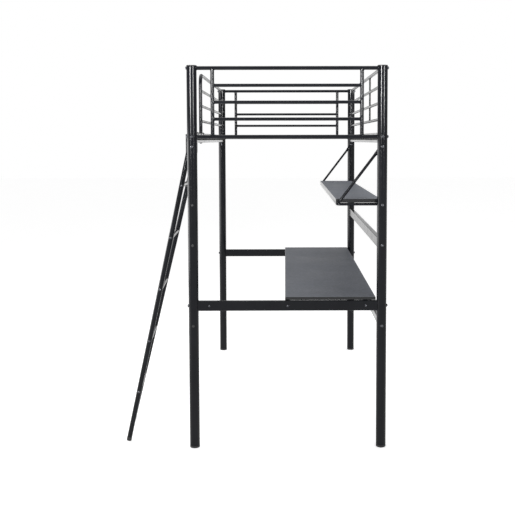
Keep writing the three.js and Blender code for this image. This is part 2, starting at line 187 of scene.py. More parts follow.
def powderCoatMaterial(name, lift=1.0, rough=0.0, dustShare=None):
    material, tree, shader = newMaterial(name)
    coords = addNode(tree, "ShaderNodeTexCoord").outputs["Object"]
    patch = noise(tree, coords, powderCoat["patchScale"], 4.0)
    base = ramp(tree, patch, [
        (0.30, lifted(powderCoat["tone"], lift)), (0.70, lifted(powderCoat["toneLight"], lift))])
    speckle = noise(tree, coords, powderCoat["speckleScale"], 2.0)
    cloud = noise(tree, coords, powderCoat["cloudScale"], 5.0, 0.65)
    share = powderCoat["dustShare"] if dustShare is None else dustShare
    dusty = mapRange(tree, cloud, 0.52, 0.80, 0.0, share)
    colour = mixColour(tree, dusty, base, lifted(powderCoat["dust"], lift))
    tree.links.new(colour, shader.inputs["Base Color"])
    smooth, coarse = powderCoat["roughness"]
    tree.links.new(mapRange(tree, cloud, 0.3, 0.75, smooth + rough, coarse + rough),
                   shader.inputs["Roughness"])
    shader.inputs["Specular IOR Level"].default_value = powderCoat["specular"]
    peel = noise(tree, coords, powderCoat["peelScale"], 2.0, 0.5)
    bump(tree, [(peel, *powderCoat["peel"]), (speckle, *powderCoat["speckle"])], shader)
    return material


plastic = {
    "tone": (0.0065, 0.0066, 0.0072),
    "toneWorn": (0.016, 0.016, 0.017),
    "roughness": (0.46, 0.66),
    "scuffScale": 60.0,
    "scuff": (0.15, 0.3 * mm),
    "grainScale": 1500.0,
    "grain": (0.5, 0.08 * mm),
}


def plasticMaterial(name):
    material, tree, shader = newMaterial(name)
    coords = addNode(tree, "ShaderNodeTexCoord").outputs["Object"]
    scuff = noise(tree, coords, plastic["scuffScale"], 5.0, 0.7, 0.4)
    colour = ramp(tree, scuff, [(0.45, plastic["tone"]), (0.78, plastic["toneWorn"])])
    tree.links.new(colour, shader.inputs["Base Color"])
    tree.links.new(mapRange(tree, scuff, 0.3, 0.8, *plastic["roughness"]), shader.inputs["Roughness"])
    grain = noise(tree, coords, plastic["grainScale"], 2.0)
    bump(tree, [(grain, *plastic["grain"]), (scuff, *plastic["scuff"])], shader)
    return material


boltFinish = {
    "tone": (0.085, 0.088, 0.098),
    "toneWorn": (0.20, 0.20, 0.21),
    "roughness": (0.20, 0.32),
    "metallic": 0.9,
    "wearScale": 160.0,
    "wear": (0.2, 0.1 * mm),
}


def boltMaterial(name):
    material, tree, shader = newMaterial(name)
    coords = addNode(tree, "ShaderNodeTexCoord").outputs["Object"]
    wear = noise(tree, coords, boltFinish["wearScale"], 5.0, 0.7)
    colour = ramp(tree, wear, [(0.50, boltFinish["tone"]), (0.85, boltFinish["toneWorn"])])
    tree.links.new(colour, shader.inputs["Base Color"])
    tree.links.new(mapRange(tree, wear, 0.3, 0.8, *boltFinish["roughness"]), shader.inputs["Roughness"])
    shader.inputs["Metallic"].default_value = boltFinish["metallic"]
    bump(tree, [(wear, *boltFinish["wear"])], shader)
    return material


laminate = {
    "tone": (0.056, 0.061, 0.074),
    "toneLight": (0.125, 0.136, 0.160),
    "roughness": (0.46, 0.60),
    "broadScale": 3.5,
    "broadShare": 0.30,
    "broadLift": 1.12,
    "fleckScale": 95.0,
    "fleck": (0.2, 0.1 * mm),
    "pebbleScale": 420.0,
    "pebbleSmooth": 0.6,
    "pebble": (0.55, 0.22 * mm),
    "pitShare": 0.22,
    "pitLift": 0.75,
}


def laminateMaterial(name, lift=1.0):
    material, tree, shader = newMaterial(name)
    coords = addNode(tree, "ShaderNodeTexCoord").outputs["Object"]
    pebble = addNode(tree, "ShaderNodeTexVoronoi", {"feature": "SMOOTH_F1"}, {
        "Scale": laminate["pebbleScale"], "Smoothness": laminate["pebbleSmooth"]})
    tree.links.new(coords, pebble.inputs["Vector"])
    cell = pebble.outputs["Distance"]
    fleck = noise(tree, coords, laminate["fleckScale"], 4.0, 0.7)
    broad = noise(tree, coords, laminate["broadScale"], 3.0)
    base = ramp(tree, fleck, [
        (0.36, lifted(laminate["tone"], lift)), (0.66, lifted(laminate["toneLight"], lift))])
    tint = mapRange(tree, broad, 0.35, 0.7, 0.0, laminate["broadShare"])
    colour = mixColour(tree, tint, base, lifted(laminate["toneLight"], lift * laminate["broadLift"]))
    pit = mapRange(tree, cell, 0.0, 0.55, 0.0, laminate["pitShare"])
    colour = mixColour(tree, pit, colour, lifted(laminate["tone"], lift * laminate["pitLift"]))
    tree.links.new(colour, shader.inputs["Base Color"])
    tree.links.new(mapRange(tree, broad, 0.3, 0.75, *laminate["roughness"]), shader.inputs["Roughness"])
    bump(tree, [(cell, *laminate["pebble"]), (fleck, *laminate["fleck"])], shader)
    return material


edging = {
    "tone": (0.0040, 0.0042, 0.0050),
    "toneWorn": (0.010, 0.011, 0.012),
    "roughness": (0.14, 0.22),
    "rubScale": 300.0,
    "stretchY": 0.06,
    "rub": (0.12, 0.05 * mm),
}


def edgingMaterial(name):
    material, tree, shader = newMaterial(name)
    coords = addNode(tree, "ShaderNodeTexCoord").outputs["Object"]
    streak = addNode(tree, "ShaderNodeMapping", None, {"Scale": (1.0, edging["stretchY"], 1.0)})
    tree.links.new(coords, streak.inputs["Vector"])
    rub = noise(tree, streak.outputs["Vector"], edging["rubScale"], 4.0, 0.6)
    colour = ramp(tree, rub, [(0.42, edging["tone"]), (0.80, edging["toneWorn"])])
    tree.links.new(colour, shader.inputs["Base Color"])
    tree.links.new(mapRange(tree, rub, 0.3, 0.8, *edging["roughness"]), shader.inputs["Roughness"])
    bump(tree, [(rub, *edging["rub"])], shader)
    return material


finishes = {
    "post": powderCoatMaterial("postCoat"),
    "rail": powderCoatMaterial("railCoat", 1.05),
    "bar": powderCoatMaterial("barCoat", 1.0, 0.02),
    "slat": powderCoatMaterial("slatCoat", 1.0, 0.03),
    "ladder": powderCoatMaterial("ladderCoat", 1.1, 0.0, 0.24),
    "cap": plasticMaterial("capPlastic"),
    "bolt": boltMaterial("boltBlack"),
    "desk": laminateMaterial("deskLaminate"),
    "shelf": laminateMaterial("shelfLaminate", 1.15),
    "edging": edgingMaterial("boardEdging"),
    "weld": powderCoatMaterial("weldCoat", 1.0, 0.06),
}
print("finishes made:", len(finishes))


# A part is (vertices, quads, triangles). Rings lie on a grid of stations by turns, and a pole
# closes each end of it with a fan.
def closedGrid(rings, poleStart=None, poleEnd=None):
    count, sides = rings.shape[:2]
    vertices = rings.reshape(-1, 3)
    rows, turns = np.meshgrid(np.arange(count - 1), np.arange(sides), indexing="ij")
    after = (turns + 1) % sides
    quads = np.stack([rows * sides + turns, rows * sides + after,
                      (rows + 1) * sides + after, (rows + 1) * sides + turns], axis=-1).reshape(-1, 4)
    ring = np.arange(sides)
    onward = (ring + 1) % sides
    first = rings[0].mean(axis=0) if poleStart is None else poleStart
    last = rings[-1].mean(axis=0) if poleEnd is None else poleEnd
    total = len(vertices)
    vertices = np.vstack([vertices, first, last])
    tail = (count - 1) * sides
    fans = np.vstack([
        np.stack([np.full(sides, total), onward, ring], axis=-1),
        np.stack([np.full(sides, total + 1), tail + ring, tail + onward], axis=-1)])
    return vertices, quads, fans


# A ring that closes on itself both ways, such as a weld bead.
def torusGrid(rings):
    count, sides = rings.shape[:2]
    rows, turns = np.meshgrid(np.arange(count), np.arange(sides), indexing="ij")
    onward, after = (rows + 1) % count, (turns + 1) % sides
    quads = np.stack([rows * sides + turns, rows * sides + after,
                      onward * sides + after, onward * sides + turns], axis=-1).reshape(-1, 4)
    return rings.reshape(-1, 3), quads, np.zeros((0, 3), int)


# Straight runs joined by arcs of the bend radius: corner k turns from one run's direction to the next,
# p = centre + turn(start - centre). Gives the stations and their tangents.
def bentPath(points, bend=0.0, steps=10):
    places, tangents = [], []
    for k, corner in enumerate(points):
        before = None if k == 0 else (corner - points[k - 1]) / np.linalg.norm(corner - points[k - 1])
        after = None if k == len(points) - 1 else (
            (points[k + 1] - corner) / np.linalg.norm(points[k + 1] - corner))
        if before is None or after is None:
            places.append(corner[None])
            tangents.append((after if before is None else before)[None])
            continue
        turn = math.acos(float(np.clip(before @ after, -1, 1)))
        across = np.cross(before, after)
        across /= np.linalg.norm(across)
        inward = np.cross(across, before)
        start = corner - before * bend * math.tan(turn / 2)
        angle = np.linspace(0, turn, steps + 1)[:, None]
        places.append(start + bend * (np.sin(angle) * before + (1 - np.cos(angle)) * inward))
        tangents.append(np.cos(angle) * before + np.sin(angle) * inward)
    return np.vstack(places), np.vstack(tangents)


# holdRing and holdPoint keep straight runs and flat faces flat in the smooth shading.
rounding = {"endSteps": 4, "holdRing": 1 * mm, "cornerSteps": 5, "holdPoint": 0.4 * mm}


# The edge of an end is a quarter circle: distance edge (1 - cos a), radius r - edge + edge sin a.
# One more full ring stands holdRing further in.
def roundEnds(places, tangents, radius, edge):
    a = np.linspace(0, math.pi / 2, rounding["endSteps"] + 1)
    along = np.append(edge * (1 - np.cos(a)), edge + rounding["holdRing"])[:, None]
    inset = np.append(edge * (1 - np.sin(a)), 0.0)
    places = np.vstack([places[0] + along * tangents[0], places[1:-1],
                        places[-1] - along[::-1] * tangents[-1]])
    radii = np.concatenate([radius - inset, np.full(len(tangents) - 2, radius), radius - inset[::-1]])
    tangents = np.vstack([np.repeat(tangents[:1], len(inset), axis=0), tangents[1:-1],
                          np.repeat(tangents[-1:], len(inset), axis=0)])
    return places, tangents, radii


# A round tube along a flat path: ring = centre + radius (cos t side + sin t plane), with
# side = plane x tangent.
def tubePart(points, radius, plane, bend=0.0, sides=32, edge=0.6 * mm, steps=10):
    places, tangents = bentPath([np.asarray(p, float) for p in points], bend, steps)
    places, tangents, radii = roundEnds(places, tangents, radius, edge)
    side = np.cross(plane, tangents)
    side /= np.linalg.norm(side, axis=1, keepdims=True)
    turn = np.arange(sides) * (2 * math.pi / sides)
    ring = (np.cos(turn)[None, :, None] * side[:, None]
            + np.sin(turn)[None, :, None] * np.asarray(plane)[None, None])
    return closedGrid(places[:, None] + radii[:, None, None] * ring)


# A turned form: ring = foot + height along + radius (cos t across + sin t other).
def turnedPart(profile, foot, along, sides=40):
    along = np.asarray(along, float) / np.linalg.norm(along)
    helper = axisX if abs(along[0]) < 0.9 else axisY
    across = np.cross(helper, along)
    across /= np.linalg.norm(across)
    other = np.cross(along, across)
    profile = np.asarray(profile, float)
    turn = np.arange(sides) * (2 * math.pi / sides)
    ring = np.cos(turn)[:, None] * across + np.sin(turn)[:, None] * other
    inner = profile[1:-1]
    rings = foot + inner[:, 1][:, None, None] * along + inner[:, 0][:, None, None] * ring[None]
    return closedGrid(rings, foot + profile[0, 1] * along, foot + profile[-1, 1] * along)


# A rounded rectangle, anticlockwise: corner centre + r (cos t, sin t), a quarter turn at each corner,
# and one more point on the flat, holdPoint beside each end of the turn.
def roundedLoop(width, height, corner):
    t = np.linspace(0, math.pi / 2, rounding["cornerSteps"] + 1)
    t = np.concatenate([t[:1], t, t[-1:]])
    beside = np.zeros(len(t))
    beside[0], beside[-1] = -rounding["holdPoint"], rounding["holdPoint"]
    w, h = width / 2 - corner, height / 2 - corner
    quarters = ((1, 1, 0), (-1, 1, math.pi / 2), (-1, -1, math.pi), (1, -1, -math.pi / 2))
    loops = [np.stack([sx * w + corner * np.cos(t + start) - beside * np.sin(t + start),
                       sy * h + corner * np.sin(t + start) + beside * np.cos(t + start)], axis=-1)
             for sx, sy, start in quarters]
    return np.vstack(loops)


# A section carried along a flat path: ring = centre + u side + v plane. Its ends are drawn in by
# the edge.
def sectionPart(points, width, height, plane, corner, bend=0.0, edge=0.5 * mm, steps=8):
    places, tangents = bentPath([np.asarray(p, float) for p in points], bend, steps)
    places = np.vstack([places[:1], places[:1] + edge * tangents[0], places[1:-1],
                        places[-1:] - edge * tangents[-1], places[-1:]])
    tangents = np.vstack([tangents[:1], tangents, tangents[-1:]])
    full = roundedLoop(width, height, corner)
    drawnIn = roundedLoop(width - 2 * edge, height - 2 * edge, max(corner - edge, 0.1 * mm))
    loops = np.repeat(full[None], len(places), axis=0)
    loops[0] = loops[-1] = drawnIn
    side = np.cross(plane, tangents)
    side /= np.linalg.norm(side, axis=1, keepdims=True)
    return closedGrid(places[:, None] + loops[:, :, :1] * side[:, None]
                      + loops[:, :, 1:] * np.asarray(plane)[None, None])


# A block with rounded edges, carried along Y.
def blockPart(lowCorner, highCorner, corner):
    size = highCorner - lowCorner
    centre = (lowCorner + highCorner) / 2
    start, end = centre - axisY * size[1] / 2, centre + axisY * size[1] / 2
    return sectionPart([start, end], size[0], size[2], axisZ, corner, edge=corner * 0.7)


weldBead = {"size": 1.9 * mm, "steps": 48, "sides": 8, "ripple": 0.06, "ripples": 12}


# A weld bead round a tube that meets another: with the tube along a, the other along m, and c
# across, the seam is p + a sqrt(R^2 - (r sin t)^2) + r (cos t m + sin t c). The bead is a small
# ring round it, with ripples.
def beadPart(place, along, main, radius, mainRadius, bead=weldBead["size"]):
    along = np.asarray(along, float)
    main = np.asarray(main, float)
    across = np.cross(along, main)
    t = np.arange(weldBead["steps"]) * (2 * math.pi / weldBead["steps"])
    out = np.cos(t)[:, None] * main + np.sin(t)[:, None] * across
    rise = np.sqrt(np.maximum(mainRadius ** 2 - (radius * np.sin(t)) ** 2, 0))
    seam = place + rise[:, None] * along + radius * out
    tangent = np.roll(seam, -1, axis=0) - np.roll(seam, 1, axis=0)
    tangent /= np.linalg.norm(tangent, axis=1, keepdims=True)
    first = out - np.sum(out * tangent, axis=1, keepdims=True) * tangent
    first /= np.linalg.norm(first, axis=1, keepdims=True)
    second = np.cross(tangent, first)
    s = np.arange(weldBead["sides"]) * (2 * math.pi / weldBead["sides"])
    swell = bead * (1 + weldBead["ripple"] * np.cos(t * weldBead["ripples"]))
    ring = np.cos(s)[None, :, None] * first[:, None] + np.sin(s)[None, :, None] * second[:, None]
    return torusGrid(seam[:, None] + swell[:, None, None] * ring)


# Sizes of a full-size button head; share is each place's own scale of it.
buttonHead = {
    "radius": 7.9 * mm,
    "height": 5.6 * mm,
    "skirt": 0.8 * mm,
    "domeAngle": 1.02,
    "socket": 2.5 * mm,
    "depth": 2.6 * mm,
    "chamferShare": 1.12,
    "chamferDepth": 0.3 * mm,
    "sunk": 1.0 * mm,
    "sides": 24,
    "share": {"screw": 0.78, "rung": 0.85, "rail": 0.9},
}


# A button head with a hexagon socket. The socket's ring is a hexagon: r = a / cos(t mod 60 - 30).
def boltPart(seat, along, scale=1.0):
    along = np.asarray(along, float)
    helper = axisZ if abs(along[2]) < 0.9 else axisX
    across = np.cross(helper, along)
    other = np.cross(along, across)
    r, h = buttonHead["radius"] * scale, buttonHead["height"] * scale
    t = np.arange(buttonHead["sides"]) * (2 * math.pi / buttonHead["sides"])
    hexagon = buttonHead["socket"] * scale / np.cos(np.mod(t, math.pi / 3) - math.pi / 6)
    circle = np.ones(len(t))
    skirt = buttonHead["skirt"] * scale
    a = np.linspace(0, buttonHead["domeAngle"], 6)
    domeRadius = r * np.cos(a)
    domeHeight = skirt + (h - skirt) * np.sin(a) / math.sin(a[-1])
    rows = [(r * circle, -buttonHead["sunk"]), (r * circle, 0.0)]
    rows += [(radius * circle, height) for radius, height in zip(domeRadius, domeHeight)]
    rows += [(hexagon * buttonHead["chamferShare"], h),
             (hexagon, h - buttonHead["chamferDepth"] * scale),
             (hexagon, h - buttonHead["depth"] * scale)]
    radii = np.array([row[0] for row in rows])
    heights = np.array([row[1] for row in rows])
    ring = np.cos(t)[:, None] * across + np.sin(t)[:, None] * other
    rings = seat + heights[:, None, None] * along + radii[:, :, None] * ring[None]
    return closedGrid(rings)


# The dome's rows are (share of the radius, height).
plug = {
    "radius": 6.5 * mm,
    "sunk": 1.0 * mm,
    "step": 0.6 * mm,
    "dome": ((0.93, 1.1 * mm), (0.70, 1.5 * mm), (0.35, 1.8 * mm), (0.0, 1.9 * mm)),
    "shiftY": -0.4 * mm,
}


# A flush plug for a spare hole: a low dome with a thin step round it.
def plugPart(seat, along):
    radius = plug["radius"]
    rows = [(0, -plug["sunk"]), (radius, -plug["sunk"]), (radius, plug["step"])]
    rows += [(radius * share, height) for share, height in plug["dome"]]
    return turnedPart(rows, seat, along, 24)


made = []


# Puts parts into one mesh, each with its finish, turns every face outwards and sets the sharp edges.
def addPiece(name, parts, nodes, body="frame", smoothAngle=40):
    vertices, faces, slots, finishNames = [], [], [], []
    offset = 0
    for part, finish in parts:
        if finish not in finishNames:
            finishNames.append(finish)
        place, quads, fans = part
        vertices.append(place)
        faces += (quads + offset).tolist() + (fans + offset).tolist()
        slots += [finishNames.index(finish)] * (len(quads) + len(fans))
        offset += len(place)
    mesh = bpy.data.meshes.new(name)
    mesh.from_pydata(np.vstack(vertices).tolist(), [], faces)
    for finish in finishNames:
        mesh.materials.append(finishes[finish])
    mesh.polygons.foreach_set("material_index", slots)
    work = bmesh.new()
    work.from_mesh(mesh)
    bmesh.ops.recalc_face_normals(work, faces=work.faces)
    work.to_mesh(mesh)
    work.free()
    mesh.polygons.foreach_set("use_smooth", [True] * len(mesh.polygons))
    mesh.set_sharp_from_angle(angle=math.radians(smoothAngle))
    mesh.update()
    piece = bpy.data.objects.new(name, mesh)
    bpy.context.scene.collection.objects.link(piece)
    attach(piece, body)
    if nodes:
        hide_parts(*nodes)
    made.append(piece)
    return piece


postShape = {
    "footHeight": 12 * mm,
    "topHeight": 5 * mm,
    "footRound": 5 * mm,
    "capGap": 0.4 * mm,
    "tubeEdge": 0.8 * mm,
    "wall": 2.2 * mm,
    "chamfer": 0.5 * mm,
    "plugDepth": 3 * mm,
    "lidEdge": 1.5 * mm,
    "lidDome": 0.5 * mm,
    "lidSide": 0.9 * mm,
    "sides": 64,
}


def postPieces():
    r, sides = tubes["postRadius"], postShape["sides"]
    inner, lip = r - postShape["wall"], r - postShape["chamfer"]
    gap, plugDepth = postShape["capGap"], postShape["plugDepth"]
    for corner, (x, y, *_) in corners.items():
        bottom, top = postShape["footHeight"], bedTopZ - postShape["topHeight"]
        column = tubePart([point(x, y, bottom), point(x, y, top)], r, axisY,
                          sides=sides, edge=postShape["tubeEdge"])
        addPiece(f"post_{corner}_tube", [(column, "post")], [f"post_{corner}"])

        e = postShape["footRound"]
        a = np.linspace(0, math.pi / 2, 7)
        sole = [(0, 0.0), (r * 0.55, 0.0)]
        sole += list(zip(r - e + e * np.sin(a), e - e * np.cos(a)))
        neck = bottom - gap
        sole += [(r, neck - postShape["chamfer"]), (lip, neck), (inner, neck),
                 (inner, bottom + plugDepth), (0, bottom + plugDepth)]
        foot = turnedPart(sole, point(x, y, 0), axisZ, sides)
        addPiece(f"foot_cap_{corner}_shoe", [(foot, "cap")], [f"foot_cap_{corner}"])

        h = postShape["topHeight"]
        edge, dome = postShape["lidEdge"], postShape["lidDome"]
        crown = [(0, -plugDepth), (inner, -plugDepth), (inner, gap), (lip, gap),
                 (r, postShape["lidSide"])]
        crown += list(zip(r - edge + edge * np.cos(a), h - dome - edge + edge * np.sin(a)))
        crown += [(r * 0.6, h - dome * 0.3), (r * 0.3, h - dome * 0.07), (0, h)]
        cap = turnedPart(crown, point(x, y, top), axisZ, sides)
        addPiece(f"top_cap_{corner}_lid", [(cap, "cap")], [f"top_cap_{corner}"])


postPieces()
print("posts made")


endFrame = {"uprightX": 368.5 * mm, "railStart": 20 * mm, "bead": 2.0 * mm}


def endFramePieces():
    r, thin, post = tubes["railRadius"], tubes["infillRadius"], tubes["postRadius"]
    bead, into = endFrame["bead"], endFrame["railStart"]
    for end, y in (("near", nearY), ("far", farY)):
        parts = []
        for z in (levels["topRail"], levels["bottomRail"]):
            parts.append((tubePart([point(leftX + into, y, z), point(rightX - into, y, z)],
                                   r, axisY), "rail"))
            for x, sign in ((leftX, 1), (rightX, -1)):
                parts.append((beadPart(point(x, y, z), axisX * sign, axisZ, r, post, bead), "weld"))
        uprights = (bedX - endFrame["uprightX"], bedX + endFrame["uprightX"])
        for x in uprights:
            parts.append((tubePart([point(x, y, levels["bottomRail"]), point(x, y, levels["topRail"])],
                                   r, axisY), "rail"))
            for z, sign in ((levels["bottomRail"], 1), (levels["topRail"], -1)):
                parts.append((beadPart(point(x, y, z), axisZ * sign, axisX, r, r, bead), "weld"))
        for z in levels["infill"]:
            parts.append((tubePart([point(uprights[0], y, z), point(uprights[1], y, z)],
                                   thin, axisY), "rail"))
            for x, sign in ((uprights[0], 1), (uprights[1], -1)):
                parts.append((beadPart(point(x, y, z), axisX * sign, axisZ, thin, r, bead), "weld"))
        addPiece(f"end_frame_{end}_tubes", parts, [f"end_frame_{end}"])


endFramePieces()


barShape = {
    "width": 25 * mm,
    "height": 50 * mm,
    "crossStart": 20 * mm,
    "collarRun": (21 * mm, 25.6 * mm),
    "collarHalf": (10.5 * mm, 27 * mm),
    "collarRound": 1.5 * mm,
}


def barAlong(start, end, width, height):
    return sectionPart([start, end], width, height, axisZ, tubes["barCorner"]), "bar"


deskBarsX = (middle("desk_bar_front", 0), middle("desk_bar_back", 0))
screwXs = (2 * bedX - deskBarsX[1], deskBarsX[0], deskBarsX[1])


def crossBarPieces():
    into = barShape["crossStart"]
    halfY, halfZ = barShape["collarHalf"]
    for end, y, sy in (("near", nearY, -1), ("far", farY, 1)):
        z = levels["crossBar"]
        parts = [barAlong(point(leftX + into, y, z), point(rightX - into, y, z),
                          barShape["width"], barShape["height"])]
        face = y + sy * barShape["width"] / 2
        for x in screwXs:
            screw = boltPart(point(x, face, z), axisY * sy, buttonHead["share"]["screw"])
            parts.append((screw, "bolt"))
        for x, sign in ((leftX, 1), (rightX, -1)):
            xs = sorted(x + sign * run for run in barShape["collarRun"])
            collar = blockPart(point(xs[0], y - halfY, z - halfZ), point(xs[1], y + halfY, z + halfZ),
                               barShape["collarRound"])
            parts.append((collar, "weld"))
        addPiece(f"cross_bar_{end}_bar", parts, [f"cross_bar_{end}"])


crossBarPieces()

sideRail = {
    "barStart": 27 * mm,
    "plateBottom": low("side_rail_front", 2),
    "plateStart": 12 * mm,
    "plateDepth": 5 * mm,
    "plateShort": 0.1 * mm,
    "plateRound": 1.2 * mm,
    "seatLength": 20 * mm,
    "seatWidth": 24 * mm,
    "seatDrop": 9 * mm,
    "seatTop": 2 * mm,
    "seatRound": 1.5 * mm,
    "seatGap": 0.3 * mm,
    "seatInset": 0.5 * mm,
    "guardInset": 0.46 * mm,
}
slatYs = [middle(f"slat_{k:02d}", 1) for k in range(1, 14)]
railTopZ = high("side_rail_front", 2)
railZ = railTopZ - barShape["height"] / 2
railHalf = barShape["width"] / 2
guardInset = tubes["railRadius"] - sideRail["guardInset"]
guardFeet = {side: (low(f"guard_{side}", 1) + guardInset, high(f"guard_{side}", 1) - guardInset)
             for side in ("front", "back")}


# A slat's seat, carried along X: a block with a half-round groove,
# (y, z) = groove centre + r (cos t, sin t).
def seatPart(x0, x1, y):
    half, groove = sideRail["seatWidth"] / 2, tubes["slatRadius"] + sideRail["seatGap"]
    z = levels["slat"]
    bottom, top = z - tubes["slatRadius"] - sideRail["seatDrop"], z - sideRail["seatTop"]
    t0 = math.asin(sideRail["seatTop"] / groove)
    t = np.linspace(-t0, -math.pi + t0, 9)
    arc = np.stack([y + groove * np.cos(t), z + groove * np.sin(t)], axis=-1)
    c = sideRail["seatRound"]
    loop = np.vstack([[y - half + c, bottom], [y + half - c, bottom], [y + half, bottom + c],
                      [y + half, top - c / 2], [y + half - c / 2, top], arc,
                      [y - half + c / 2, top], [y - half, top - c / 2], [y - half, bottom + c]])
    rings = np.stack([np.column_stack([np.full(len(loop), x), loop]) for x in (x0, x1)])
    heart = bottom + sideRail["seatDrop"] * 0.4
    return closedGrid(rings, point(x0, y, heart), point(x1, y, heart))


def sideRailPieces():
    start, share = sideRail["barStart"], buttonHead["share"]["rail"]
    for side, x, sx in (("front", leftX, -1), ("back", rightX, 1)):
        parts = [barAlong(point(x, nearY + start, railZ), point(x, farY - start, railZ),
                          barShape["width"], barShape["height"])]
        for y, sy in ((nearY, 1), (farY, -1)):
            inner = y + sy * (tubes["postRadius"] + sideRail["plateDepth"])
            ys = sorted((y + sy * sideRail["plateStart"], inner))
            plate = blockPart(point(x - railHalf, ys[0], sideRail["plateBottom"]),
                              point(x + railHalf, ys[1], railTopZ - sideRail["plateShort"]),
                              sideRail["plateRound"])
            parts.append((plate, "bar"))
            parts.append((boltPart(point(x, inner, levels["sideBolts"][1]), axisY * sy, share), "bolt"))
        seatStart = x - sx * railHalf + sx * sideRail["seatInset"]
        seatEnd = x - sx * railHalf - sx * sideRail["seatLength"]
        for y in slatYs:
            parts.append((seatPart(seatStart, seatEnd, y), "cap"))
        for y in guardFeet[side]:
            parts.append((boltPart(point(x, y, railTopZ - barShape["height"]), -axisZ, share), "bolt"))
        addPiece(f"side_rail_{side}_bar", parts, [f"side_rail_{side}"])


sideRailPieces()


def slatPieces():
    z = levels["slat"]
    for k, y in enumerate(slatYs):
        node = f"slat_{k + 1:02d}"
        tube = tubePart([point(low(node, 0), y, z), point(high(node, 0), y, z)],
                        tubes["slatRadius"], axisY, sides=24, edge=tubes["slatEdge"])
        addPiece(f"{node}_tube", [(tube, "slat")], [node])


slatPieces()
print("bed frame made")

guardShape = {
    "bend": 58 * mm,
    "footGap": 0.3 * mm,
    "footFlange": 12.5 * mm,
    "flangeRound": 0.3 * mm,
    "flangeSide": 1.4 * mm,
    "footHeight": 2.5 * mm,
    "collarHeight": 6 * mm,
    "tieY": -374 * mm,
    "tieBead": 1.5 * mm,
}


def guardPieces():
    r, thin = tubes["railRadius"], tubes["infillRadius"]
    for side, x in (("front", leftX), ("back", rightX)):
        y0, y1 = guardFeet[side]
        top, foot = levels["topRail"], railTopZ + guardShape["footGap"]
        hoop = tubePart([point(x, y0, foot), point(x, y0, top), point(x, y1, top), point(x, y1, foot)],
                        r, axisX, guardShape["bend"], steps=18)
        parts = [(hoop, "rail")]
        for z in levels["infill"]:
            parts.append((tubePart([point(x, y0, z), point(x, y1, z)], thin, axisX), "rail"))
            for y, sign in ((y0, 1), (y1, -1)):
                parts.append((beadPart(point(x, y, z), axisY * sign, axisZ, thin, r), "weld"))
        wide, edge = guardShape["footFlange"], guardShape["flangeRound"]
        collar = guardShape["collarHeight"]
        profile = [(0, 0), (wide - edge, 0), (wide, edge), (wide, guardShape["flangeSide"]),
                   (r + 1.5 * mm, guardShape["footHeight"]), (r - 1 * mm, collar), (0, collar)]
        for y in (y0, y1):
            parts.append((turnedPart(profile, point(x, y, foot), axisZ, 40), "weld"))
        if side == "back":
            y, bead, tie = guardShape["tieY"], guardShape["tieBead"], tubes["tieRadius"]
            bottomZ = levels["infill"][-1]
            rod = tubePart([point(x, y, bottomZ), point(x, y, top)], tie, axisX, sides=24)
            parts.append((rod, "rail"))
            parts.append((beadPart(point(x, y, top), -axisZ, axisY, tie, r, bead), "weld"))
            parts.append((beadPart(point(x, y, bottomZ), axisZ, axisY, tie, thin, bead), "weld"))
        addPiece(f"guard_{side}_hoop", parts, [f"guard_{side}"])


guardPieces()


backRail = {
    "start": 13 * mm,
    "collarRun": (14 * mm, 26.4 * mm),
    "collarLip": 1.2 * mm,
    "collarRound": 1.5 * mm,
}


def backRailPieces():
    start, lip = backRail["start"], backRail["collarLip"]
    for node in ("back_rail_middle", "back_rail_low"):
        width = high(node, 0) - low(node, 0)
        height = high(node, 2) - low(node, 2)
        x, z = middle(node, 0), middle(node, 2)
        parts = [barAlong(point(x, nearY + start, z), point(x, farY - start, z), width, height)]
        for y, sy in ((nearY, 1), (farY, -1)):
            ys = sorted(y + sy * run for run in backRail["collarRun"])
            parts.append((blockPart(point(x - width / 2 - lip, ys[0], z - height / 2 - lip),
                                    point(x + width / 2 + lip, ys[1], z + height / 2 + lip),
                                    backRail["collarRound"]), "weld"))
        addPiece(f"{node}_bar", parts, [node])


backRailPieces()
print("guards and back rails made")

boardShape = {"edgeRound": 1.6 * mm, "endEdge": 0.96 * mm, "flatAbove": 0.995}


# A board: a rounded section carried along Y. Faces that look up or down are laminate, and the
# rest edging.
def boardPiece(node, name, finish):
    lowCorner, highCorner = (np.array(c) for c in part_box(node))
    size, centre = highCorner - lowCorner, (lowCorner + highCorner) / 2
    start, end = point(centre[0], lowCorner[1], centre[2]), point(centre[0], highCorner[1], centre[2])
    board = sectionPart([start, end], size[0], size[2], axisZ, boardShape["edgeRound"],
                        edge=boardShape["endEdge"])
    mesh = addPiece(name, [(board, "edging")], [node]).data
    mesh.materials.append(finishes[finish])
    normals = np.empty(len(mesh.polygons) * 3)
    mesh.polygons.foreach_get("normal", normals)
    flat = np.abs(normals.reshape(-1, 3)[:, 2]) > boardShape["flatAbove"]
    mesh.polygons.foreach_set("material_index", flat.astype(np.int32))
    mesh.update()


def deskPieces():
    boardPiece("desk_top", "desk_top_board", "desk")
    for node in ("desk_bar_front", "desk_bar_back"):
        x, z = middle(node, 0), middle(node, 2)
        bar = barAlong(point(x, low(node, 1), z), point(x, high(node, 1), z),
                       barShape["width"], barShape["height"])
        addPiece(f"{node}_tube", [bar], [node])


deskPieces()

shelfShape = {
    "bend": 16 * mm,
    "backInset": 0.5 * mm,
    "backTube": 16 * mm,
    "bead": 1.5 * mm,
    "strutFoot": (5 * mm, 6.5 * mm),
    "strutTab": 3 * mm,
    "tabSwell": 2.1 * mm,
    "tabTip": 9 * mm,
    "flatRun": 42 * mm,
    "flatFrom": 22 * mm,
    "flatTo": 10 * mm,
}


